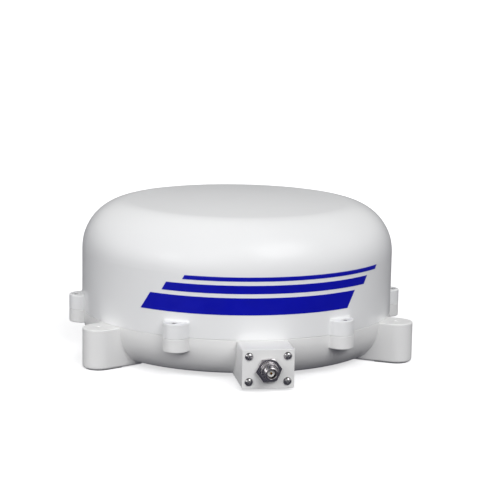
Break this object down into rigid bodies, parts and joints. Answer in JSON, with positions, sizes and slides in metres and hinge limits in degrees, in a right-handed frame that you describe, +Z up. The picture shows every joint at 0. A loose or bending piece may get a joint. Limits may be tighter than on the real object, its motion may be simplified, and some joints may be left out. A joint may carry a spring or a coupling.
{
  "type": "dome antenna",
  "caption": "Low-profile dome antenna: white radome on a footed bowl base with a coaxial jack; a motor-driven patch antenna turns and tilts inside.",
  "frame": {"origin": "centre of the three mounting holes' circle, in the plane the foot pads stand on", "axes": "+Z up, out of the dome's crown; the connector box faces -Y; +X is to the right when facing the connector"},
  "size_m": [0.3038, 0.3514, 0.1358],
  "materials": {
    "radome_white": "gloss gelcoat",
    "base_white": "white powder coat on cast aluminium",
    "decal_blue": "vinyl film",
    "seal_rubber": "matt",
    "pad_rubber": "matt",
    "stainless": "polished stainless",
    "steel": "ground",
    "bearing_steel": "polished",
    "brass": "machined",
    "nickel": "nickel plate",
    "gold": "gold plate",
    "copper": "bare copper",
    "ptfe": "matt",
    "aluminium": "clear anodised",
    "rf_alloy": "cast",
    "tin_plate": "tinned",
    "motor_black": "satin",
    "black_plastic": "matt",
    "chip_black": "matt",
    "board_green": "solder mask",
    "gear_acetal": "satin",
    "bushing_bronze": "sintered",
    "foam_white": "closed-cell foam",
    "lead_sheath": "FEP sheath"
  },
  "bodies": {
    "base": {"radome": "radome_white", "base_housing": "base_white", "rim_gasket": "seal_rubber", "radome_screws": "stainless", "foot_inserts": "brass", "foot_pads": "pad_rubber", "pressure_vent": "black_plastic", "connector_plate": "base_white", "plate_gasket": "seal_rubber", "plate_screws": "stainless", "jack_body": "nickel", "jack_seal": "seal_rubber", "jack_washer": "nickel", "jack_nut": "nickel", "jack_dielectric": "ptfe", "jack_contact": "gold", "chassis_plate": "aluminium", "chassis_screws": "stainless", "azimuth_spindle": "steel", "spindle_screws": "stainless", "spindle_circlip": "steel", "bearing_inner_ring": "bearing_steel", "bearing_balls": "bearing_steel", "azimuth_motor": "motor_black", "azimuth_motor_screws": "stainless", "main_board": "board_green", "board_standoffs": "brass", "board_screws": "stainless", "board_shield": "tin_plate", "board_chips": "chip_black", "home_sensor": "black_plastic", "wall_stripes": "decal_blue", "rotary_joint_stator": "nickel", "jack_lead": "lead_sheath"},
    "azimuth_drive": {"azimuth_pinion": "brass", "azimuth_motor_shaft": "steel"},
    "turntable_assembly": {"turntable": "aluminium", "bearing_outer_ring": "bearing_steel", "azimuth_gear": "gear_acetal", "gear_screws": "stainless", "home_flag": "tin_plate", "rotary_joint_rotor": "nickel", "left_bracket": "aluminium", "right_bracket": "aluminium", "bracket_screws": "stainless", "trunnion_bushings": "bushing_bronze", "elevation_motor": "motor_black", "elevation_motor_screws": "stainless"},
    "elevation_drive": {"elevation_pinion": "brass", "elevation_motor_shaft": "steel"},
    "antenna_panel": {"panel_plate": "aluminium", "foam_spacer": "foam_white", "patch_board": "board_green", "patch_elements": "copper", "left_trunnion": "steel", "right_trunnion": "steel", "trunnion_screws": "stainless", "rf_module": "rf_alloy", "sector_gear": "gear_acetal"}
  },
  "joints": [
    {"name": "azimuth_turn", "type": "hinge", "parent": "base", "child": "turntable_assembly", "pos_m": [0, 0, 0.034], "axis": [0, 0, 1], "continuous": true},
    {"name": "azimuth_pinion_spin", "type": "hinge", "parent": "base", "child": "azimuth_drive", "pos_m": [0, 0.0701, 0.03], "axis": [0, 0, 1], "continuous": true},
    {"name": "elevation_tilt", "type": "hinge", "parent": "turntable_assembly", "child": "antenna_panel", "pos_m": [0, 0, 0.086], "axis": [-1, 0, 0], "range_deg": [-5, 90]},
    {"name": "elevation_pinion_spin", "type": "hinge", "parent": "turntable_assembly", "child": "elevation_drive", "pos_m": [0, 0.02659, 0.05941], "axis": [-1, 0, 0], "range_deg": [-361, 21]}
  ],
  "couplings": [
    {"joint": "azimuth_pinion_spin", "follows": "azimuth_turn", "ratio": -6},
    {"joint": "elevation_pinion_spin", "follows": "elevation_tilt", "ratio": -4}
  ]
}
